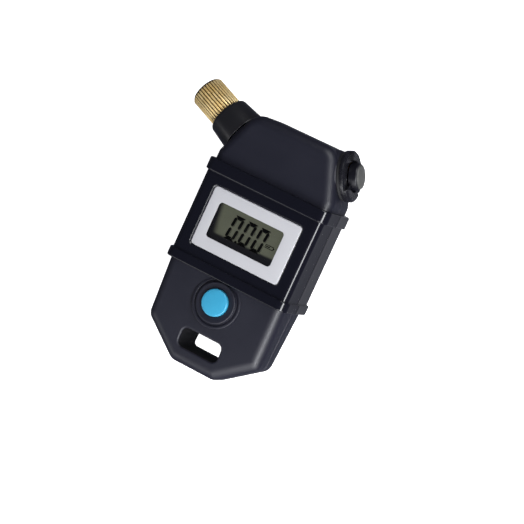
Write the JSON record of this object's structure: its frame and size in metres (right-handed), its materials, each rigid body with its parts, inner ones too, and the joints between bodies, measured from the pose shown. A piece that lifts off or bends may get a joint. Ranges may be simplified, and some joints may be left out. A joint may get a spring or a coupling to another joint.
{
  "type": "digital pressure gauge",
  "caption": "Hand-held digital tyre pressure gauge: dark moulded housing with a belt and small display, blue push button, strap slot, knurled brass valve chuck and sprung air release button.",
  "frame": {"origin": "middle of the gauge's box at the plane that its back rests on", "axes": "+Z out of the display, +Y along the body from the strap slot to the head, +X to the release valve's side"},
  "size_m": [0.0695, 0.0954, 0.0255],
  "materials": {
    "housing": "fine satin moulding, near black with a blue cast",
    "belt": "glossy black",
    "silver": "satin silver",
    "clear": "clear, polished",
    "display": "olive grey liquid crystal",
    "pale_plastic": "matt moulding",
    "board": "green board",
    "steel": "plain steel",
    "switch_black": "matt moulding",
    "switch_red": "matt moulding",
    "blue": "smooth blue moulding",
    "contact": "bright sheet",
    "cover": "satin black",
    "seal": "matt black rubber",
    "brass": "turned brass",
    "collar": "satin black",
    "dark_metal": "satin near-black",
    "grey_metal": "satin dark grey"
  },
  "bodies": {
    "housing": {"front_shell": "housing", "rear_shell": "housing", "display_bezel": "belt", "rear_band": "belt", "silver_frame": "silver", "display_window": "clear", "display_glass": "display", "display_holder": "pale_plastic", "contact_strip": "seal", "circuit_board": "board", "board_screws": "steel", "case_screws": "steel", "push_switch": "switch_black", "pressure_sensor": "pale_plastic", "sensor_seal": "seal", "coin_cell": "steel", "contact_plus": "contact", "contact_minus": "contact", "valve_body": "brass", "neck_collar": "collar", "chuck_clip": "steel", "release_washer": "seal", "release_nut": "dark_metal", "release_spring": "steel"},
    "power_button": {"power_button": "blue", "switch_plunger": "switch_red"},
    "release_button": {"release_button": "grey_metal", "release_poppet": "brass", "poppet_seal": "seal"},
    "chuck": {"chuck": "brass", "chuck_seal": "seal", "chuck_pin": "steel", "chuck_ring": "seal"},
    "battery_cover": {"battery_cover": "cover", "cover_seal": "seal"}
  },
  "joints": [
    {"name": "power_button_press", "type": "slide", "parent": "housing", "child": "power_button", "axis": [0, 0, -1], "range_m": [0, 0.0006], "stiffness_N_per_m": 500},
    {"name": "release_button_press", "type": "slide", "parent": "housing", "child": "release_button", "axis": [-0.9255, -0.3788, 0], "range_m": [0, 0.0012], "stiffness_N_per_m": 800, "deforming": ["release_spring"]},
    {"name": "chuck_turn", "type": "hinge", "parent": "housing", "child": "chuck", "pos_m": [-0.01236, 0.03392, 0.0131], "axis": [-0.9255, 0.3788, 0], "continuous": true},
    {"name": "battery_cover_turn", "type": "hinge", "parent": "housing", "child": "battery_cover", "pos_m": [0.00766, 0.00407, 0], "axis": [0, 0, 1], "range_deg": [0, 60]}
  ]
}
